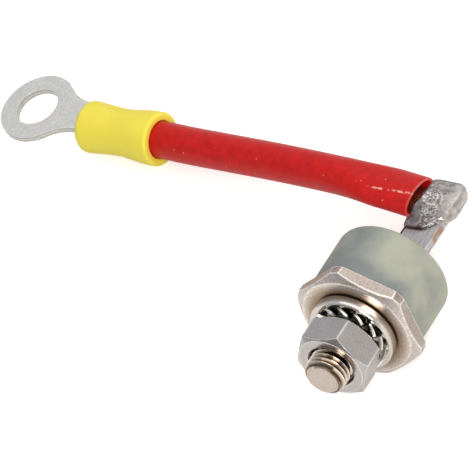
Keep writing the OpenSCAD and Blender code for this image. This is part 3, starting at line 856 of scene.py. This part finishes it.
# Darker towards the bore, under the lock washer: painted shade.
washer_plate = nickel("nickel_on_punched_steel", [
    (3.2, "#86817c"), (5.6, "#d6d2ce"), (6.2, "#d8d5d1")], (0.1, 0.2), 0.002, 0.92)
# The dark inner ring and tooth faces between washer and nut are painted shade. The near-white tooth tips
# (5.4 mm) are a painted highlight.
spring = nickel("zinc_on_spring_steel", [
    (4.3, "#8d8e88"), (5.25, "#b9bab5"), (5.4, "#f0f1ed")], (0.16, 0.3), 0.004, 0.9)
dress(hex_base, base_plate, "nickel_plate", "stud_base")
dress(stud, stud_plate, "nickel_plate", "stud_base")
dress(nut, nut_plate, "nickel_plate", "hex_nut")
dress(washer, washer_plate, "nickel_plate", "plain_washer")
dress(lock, spring, "spring_steel", "tooth_washer")

# %% [markdown]
# ## The moulded body
# The body is cast epoxy round the junction. It is a plain drum with a soft rear edge and a shallow dip in
# its back, where the tab comes out.

# %% Turn the body
BODY_R, BODY_FRONT, BODY_BACK, BODY_EDGE = 8.35, -2.2, -11.7, 1.0
DIP_OUT, DIP_IN, DIP_DEPTH, DIP_EDGE = 4.6, 3.9, 0.12, 0.6
body = turn_piece("epoxy_body", rounded([
    (0, BODY_FRONT, 0), (BODY_R, BODY_FRONT, 0.12), (BODY_R, BODY_BACK, BODY_EDGE),
    (DIP_OUT, BODY_BACK, DIP_EDGE), (DIP_IN, BODY_BACK + DIP_DEPTH, DIP_EDGE),
    (0, BODY_BACK + DIP_DEPTH, 0)], 8)[:-1], 128)
settle(body, 40, LAID)

# %% [markdown]
# ### Cast epoxy
# Filled epoxy is matt and a little chalky, a pale grey that leans to green, with faint clouds from the
# casting and fine pores. Painted shade makes it darker on one side, and in a band along the flange.

# %% Grey-green epoxy: chalky, softly clouded, fine pores
FLANGE_SHADE_BAND = 3
epoxy, node = new_material("cast_epoxy")
on_axis = coordinates(node, on_diode=True)
cloud = node("TexNoise", {"Vector": on_axis, "Scale": 0.16, "Detail": 4})
pores = node("TexNoise", {"Vector": on_axis, "Scale": 2.2, "Detail": 3})
axes = node("SeparateXYZ", [on_axis]).outputs
clouded = node("MapRange", {"Value": cloud, "From": (0.3, 0.7)})
# Painted shade: darker on one side of the body and in a band along the flange.
painted_shade_one_side = node("MapRange", {"Value": axes["X"], "From": (-6, 7), "To": (-0.35, 0.35)})
painted_shade_by_flange = node("MapRange", {
    "Value": axes["Z"], "From": (BODY_FRONT, BODY_FRONT - FLANGE_SHADE_BAND), "To": (-0.7, 0)})
clouds_and_painted_shade = node("Math", [clouded, painted_shade_one_side], "ADD")
clouds_and_painted_shade = node("Math", [clouds_and_painted_shade, painted_shade_by_flange], "ADD", use_clamp=True)
tone = node("MixRGB", [clouds_and_painted_shade, "#767d7e", "#a1a596"])
chalk = node("MapRange", {"Value": pores, "To": (0.42, 0.62)})
give_surface(node, tone, chalk, pores, 0.05, 0.3, {
    "IOR": 1.55, "Subsurface Weight": 0.25, "Subsurface Radius": (1, 1, 0.8), "Subsurface Scale": 1.2 * MM})
dress(body, epoxy, "epoxy", "housing")

# %% [markdown]
# ## Tab, wire and solder
# The tab is a strip of tinned copper with rounded corners. The wire's strands come out of the sleeve
# pressed flat, cross the tab, and are soldered down. The strip is a plane whose corners are bevelled and
# which is then given its thickness.

# %% The tab
TAB_HALF, TAB_T, TAB_END, TAB_START, TAB_CORNER = 2.8, 1.2, -28.5, -10.5, 1.2
bpy.ops.mesh.primitive_plane_add(size=1)
tab = named("tab_strip")
for vertex in tab.data.vertices:
    vertex.select = vertex.co.y < 0
    vertex.co = (copysign(TAB_HALF, vertex.co.x), -TAB_T / 2, TAB_END if vertex.select else TAB_START)
bpy.ops.object.mode_set(mode="EDIT")
bpy.ops.mesh.select_mode(type="VERT")
bpy.ops.mesh.bevel(offset=TAB_CORNER, segments=8, affect="VERTICES")
bpy.ops.mesh.select_all(action="SELECT")
bpy.ops.mesh.normals_make_consistent(inside=False)
bpy.ops.object.mode_set(mode="OBJECT")
apply(tab, "SOLIDIFY", thickness=TAB_T, offset=0)
round_edges(tab, SHEET_RIM, 3, 50)
settle(tab, 40, LAID)

# %% The flattened strands
STRANDS, WIRE_R, STRAND_DEPTH, STRAND_LAY, WIRE_WIDER, WIRE_LOWER = 22, 1.6, 0.07, 1.2, 0.35, 0.72
wire_line = smooth_route([(-11, 16.9, 7.7, 0.7), (-8, 16.25, 7.9, 0.9), (-5, 15.6, 7.8, 0.95),
                          (-2, 14.9, 7.4, 1), (-0.8, 14.6, 7.2, 1), (0.2, 14.4, 6.95, 1)], 6)


def wire_place(u, v):
    centre, side, lift, flat = route_frame(wire_line, v)
    turn = 2 * pi * u
    ridge = WIRE_R * (1 - STRAND_DEPTH * abs(sin(STRANDS / 2 * turn + STRAND_LAY * v)))
    c, s = cos(turn), sin(turn)
    return (centre + (1 + WIRE_WIDER * flat) * ridge * copysign(abs(c) ** 0.8, c) * side
            + (1 - WIRE_LOWER * flat) * ridge * copysign(abs(s) ** 0.7, s) * lift)


wire = roll_grid("flattened_strands", 132, len(wire_line) - 1, wire_place, close_ends=True)
settle(wire, 60)

# %% [markdown]
# ### The solder
# Molten solder wets the tab and the strands, runs over the edge of the tab and freezes in a lumpy skin.
# Its cut face changes from station to station, so a grid is rolled round ten points that move along the
# tab, and noise gives the lumps.

# %% Roll the solder
SOLDER_FRONT, SOLDER_BACK, SOLDER_STATIONS, SOLDER_AROUND = 19.1, 28.2, 56, 72
SOLDER_FOOT, FRONT_ROUND, BACK_ROUND = -0.1, 0.025, 0.07


def between(at, *keys):
    """A value eased between (place, value) keys."""
    for (a, low), (b, high) in zip(keys, keys[1:]):
        if at <= b:
            return low + (high - low) * ease((at - a) / (b - a))
    return keys[-1][1]


def solder_top(x, along):
    """Height above the tab: thin at the front, then a slope that falls to the right."""
    rise = ease((along - 18.6) / 5.4) * (1 - 0.3 * ease((along - 24.5) / 3.7))
    return 0.3 + (1.78 - 0.27 * (x + 1.9)) * rise


def solder_face(along):
    """Corner points of the solder's cut face at a distance along the tab."""
    left = between(along, (19.1, -2.7), (22, -2.4), (24, -1.6), (28.2, -1.7))
    edge = between(along, (19.1, 0.5), (20.4, 2.0), (21.4, 3.0), (23.5, 3.65), (26, 3.6), (28.2, 3.1))
    hang = between(along, (19.1, -0.05), (20.3, -0.1), (21.5, -1.0), (23, -1.2), (26.5, -1.2), (28.2, -0.7))
    crest = [solder_top(x, along) for x in (left, left + 0.5, edge - 1.6, edge - 0.35)]
    return [(left, SOLDER_FOOT), (left, crest[0] * 0.9), (left + 0.5, crest[1]), (edge - 1.6, crest[2]),
            (edge - 0.35, crest[3] + 0.1), (edge, max(0.2, hang + 0.4)), (edge, hang + 0.2),
            (edge - 0.3, hang), (min(2.6, edge - 0.6), hang + 0.1), (min(2.5, edge - 0.7), SOLDER_FOOT)]


def solder_place(u, v):
    along = SOLDER_FRONT + (SOLDER_BACK - SOLDER_FRONT) * v
    loop = [Vector(p) for p in solder_face(along)]
    step, t = divmod(u * len(loop), 1)
    i = int(step) % len(loop)
    flat = loop[i].lerp(loop[(i + 1) % len(loop)], t)
    end = min(v / FRONT_ROUND, (1 - v) / BACK_ROUND)
    if end < 1:
        middle = sum(loop, Vector((0, 0))) / len(loop)
        flat = middle.lerp(flat, sqrt(max(1 - (1 - end) ** 2, 0)) * 0.9 + 0.1 * end)
    return Vector((flat.x, flat.y, -along))


solder = roll_grid("solder", SOLDER_AROUND, SOLDER_STATIONS, solder_place, close_ends=True)
apply(solder, "SMOOTH", factor=0.5, iterations=2)
apply(solder, "SUBSURF", levels=1, render_levels=1)
for vertex in solder.data.vertices:
    p = vertex.co
    lump = 0.09 * noise.noise(p * 0.6) + 0.03 * noise.noise(p * 1.9 + Vector((7, 3, 1)))
    vertex.co = p + vertex.normal * lump
settle(solder, 60, LAID)

# %% [markdown]
# ### Frozen solder
# Frozen tin-lead solder is grey and half mirror, with a mottled skin: dark where flux was left, bright
# where a grain faces the light. Along the middle it is crumbly, as solder is that was moved while it
# froze, with pits between bright crumbs. At its front a little brown rosin has run out.

# %% Frozen solder: mottled grey, half bright, grainy
frozen, node = new_material("frozen_solder")
on_tab = coordinates(node, on_diode=True)
axes = node("SeparateXYZ", [on_tab]).outputs
mottle = node("TexNoise", {"Vector": on_tab, "Scale": 1.1, "Detail": 5, "Roughness": 0.65})
grain = node("TexNoise", {"Vector": on_tab, "Scale": 3.2, "Detail": 3})
across = node("MapRange", {"Value": axes["X"], "From": (1.6, 3.1), "To": (-0.3, 0.2)})
along = node("MapRange", {"Value": axes["Z"], "From": (-20, -24.5), "To": (-0.15, 0.1)})
drift = node("Math", [across, along], "ADD")
flux = node("MapRange", {"Value": mottle, "From": (0.3, 0.7)})
clean = node("Math", [flux, drift], "ADD", use_clamp=True)
tone = node("MixRGB", [clean, "#817e81", "#c9c6c2"])

# %% The crumbly middle and its pits
slanted = node("Math", [axes["Z"], -0.36, axes["X"]], "MULTIPLY_ADD")
past_left = node("MapRange", {"Value": slanted, "From": (6.6, 7.3)})
before_right = node("MapRange", {"Value": axes["X"], "From": (2.0, 1.4)})
before_end = node("MapRange", {"Value": axes["Z"], "From": (-26, -24.8), "To": (0, 0.75)})
middle = node("Math", [past_left, before_right], "MULTIPLY")
crumbly = node("Math", [middle, before_end], "MULTIPLY")
crumbs = node("TexNoise", {"Vector": on_tab, "Scale": 2.3, "Detail": 5, "Roughness": 0.7})
crumb_tone = node("ValToRGB", {"Fac": crumbs})
set_stops(crumb_tone, [(0.4, "#5d5958"), (0.5, "#a5a2a0"), (0.62, "#efedea")])
cells = node("TexVoronoi", {"Vector": on_tab, "Scale": 2.4})
dot = node("MapRange", {"Value": cells, "From": (0.3, 0.2)})
few = node("Math", [cells.outputs["Color"], 0.3], "GREATER_THAN")
pit = node("Math", [dot, middle], "MULTIPLY")
pit = node("Math", [pit, few], "MULTIPLY")
front = node("MapRange", {"Value": axes["Z"], "From": (-19.55, -19.2)})
colour = tone
for mask, layer in ((crumbly, crumb_tone), (pit, "#4c4746"), (front, "#5c3233")):
    colour = node("MixRGB", [mask, colour, layer])

# %% Relief and surface of the solder
haze = node("MapRange", {"Value": grain, "From": (0.3, 0.7), "To": (0.26, 0.5)})
relief = node("Math", [mottle, grain], "ADD")
relief = node("Math", [relief, pit], "SUBTRACT")
crusty = node("Math", [crumbs, crumbly], "MULTIPLY")
relief = node("Math", [crusty, 2, relief], "MULTIPLY_ADD")
give_surface(node, colour, haze, relief, 0.06, 0.6, METAL)
dress(solder, frozen, "solder", "solder_joint")

# %% [markdown]
# ### Bare and tinned copper
# The strands in the mouth of the sleeve are bare copper, reddish and bright along each strand. The tab is
# tinned and brushed along its length. On its sheared edge the tin is worn through and copper shows, and a
# dark maroon line runs along the upper part of the far edge.

# %% Copper strands: reddish brown, bright along each strand
strands, node = new_material("copper_strands")
stretch = node("Mapping", {"Vector": coordinates(node), "Scale": (0.4, 4, 4)})
lay = node("TexNoise", {"Vector": stretch, "Scale": 1, "Detail": 3})
tone = node("MixRGB", [lay, "#a8533c", "#d98668"])
dull = node("MapRange", {"Value": lay, "To": (0.3, 0.5)})
give_surface(node, tone, dull, lay, 0.04, 0.4, METAL)
dress(wire, strands, "copper", "lead_conductor")

# %% Tinned strip with a bare sheared edge: silver, copper where the tin is gone
strip, node = new_material("tinned_strip")
on_tab = coordinates(node, on_diode=True)
axes = node("SeparateXYZ", [on_tab]).outputs
cloud = node("TexNoise", {"Vector": on_tab, "Scale": 0.6, "Detail": 4})
stretch = node("Mapping", {"Vector": on_tab, "Scale": (5, 5, 0.4)})
brush = node("TexNoise", {"Vector": stretch, "Scale": 1, "Detail": 3})
streak = node("MapRange", {"Value": brush, "From": (0.36, 0.64)})
tone = node("MixRGB", [streak, "#abacb2", "#d0d1d4"])
bare = node("MapRange", {"Value": cloud, "From": (0.3, 0.38)})
# A dark maroon line along the upper part of the tab's far edge.
dark_far_edge = node("MapRange", {"Value": axes["X"], "From": (-2.3, -2.5)})
near_top = node("MapRange", {"Value": axes["Y"], "From": (-0.45, -0.2)})
dark_far_edge = node("Math", [dark_far_edge, near_top], "MULTIPLY")
for axis, none, full in (("X", 2.6, 2.78), ("Z", -17.4, -18), ("Z", -21, -20.4)):
    mask = node("MapRange", {"Value": axes[axis], "From": (none, full)})
    bare = node("Math", [bare, mask], "MULTIPLY")
colour = tone
for mask, layer in ((bare, "#b08f80"), (dark_far_edge, "#4e2426")):
    colour = node("MixRGB", [mask, colour, layer])
dull = node("MapRange", {"Value": cloud, "To": (0.28, 0.5)})
give_surface(node, colour, dull, brush, 0.04, 0.35, METAL)
dress(tab, strip, "tinned_copper", "terminal_tab")

# %% [markdown]
# ## Inside the body
# The discs, the silicon die and the rubber ring are cast inside the epoxy. Nobody sees them, but they
# stay in the part as they are and get finishes of their own.


# %% Finishes of the inner pieces
def inner_finish(name, dark, pale, metallic, rough, grain_mm, *solids):
    """A plain mottled finish for solids that stay as they are."""
    finish, node = new_material(name)
    grain = node("TexNoise", {"Vector": coordinates(node), "Scale": 1 / grain_mm, "Detail": 3})
    tone = node("MixRGB", [grain, dark, pale])
    give_surface(node, tone, rough, grain, 0.03, 0.3, {"Metallic": metallic})
    for solid in solids:
        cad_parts[solid].data.materials.clear()
        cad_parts[solid].data.materials.append(finish)
    print(name, "on", ", ".join(solids))


inner_finish("molybdenum", "#9d9ea1", "#bdbec0", 1, 0.35, 0.8, "lower_disc", "upper_disc")
inner_finish("diffused_silicon", "#23252b", "#3b3e46", 0, 0.15, 0.5, "silicon_die")
inner_finish("silicone_rubber", "#8d6a3b", "#a8814c", 0, 0.6, 0.7, "junction_coating")

# %% [markdown]
# ## The view transform
# Last, the picture is shown with the Standard view transform.

bpy.context.scene.view_settings.view_transform = "Standard"
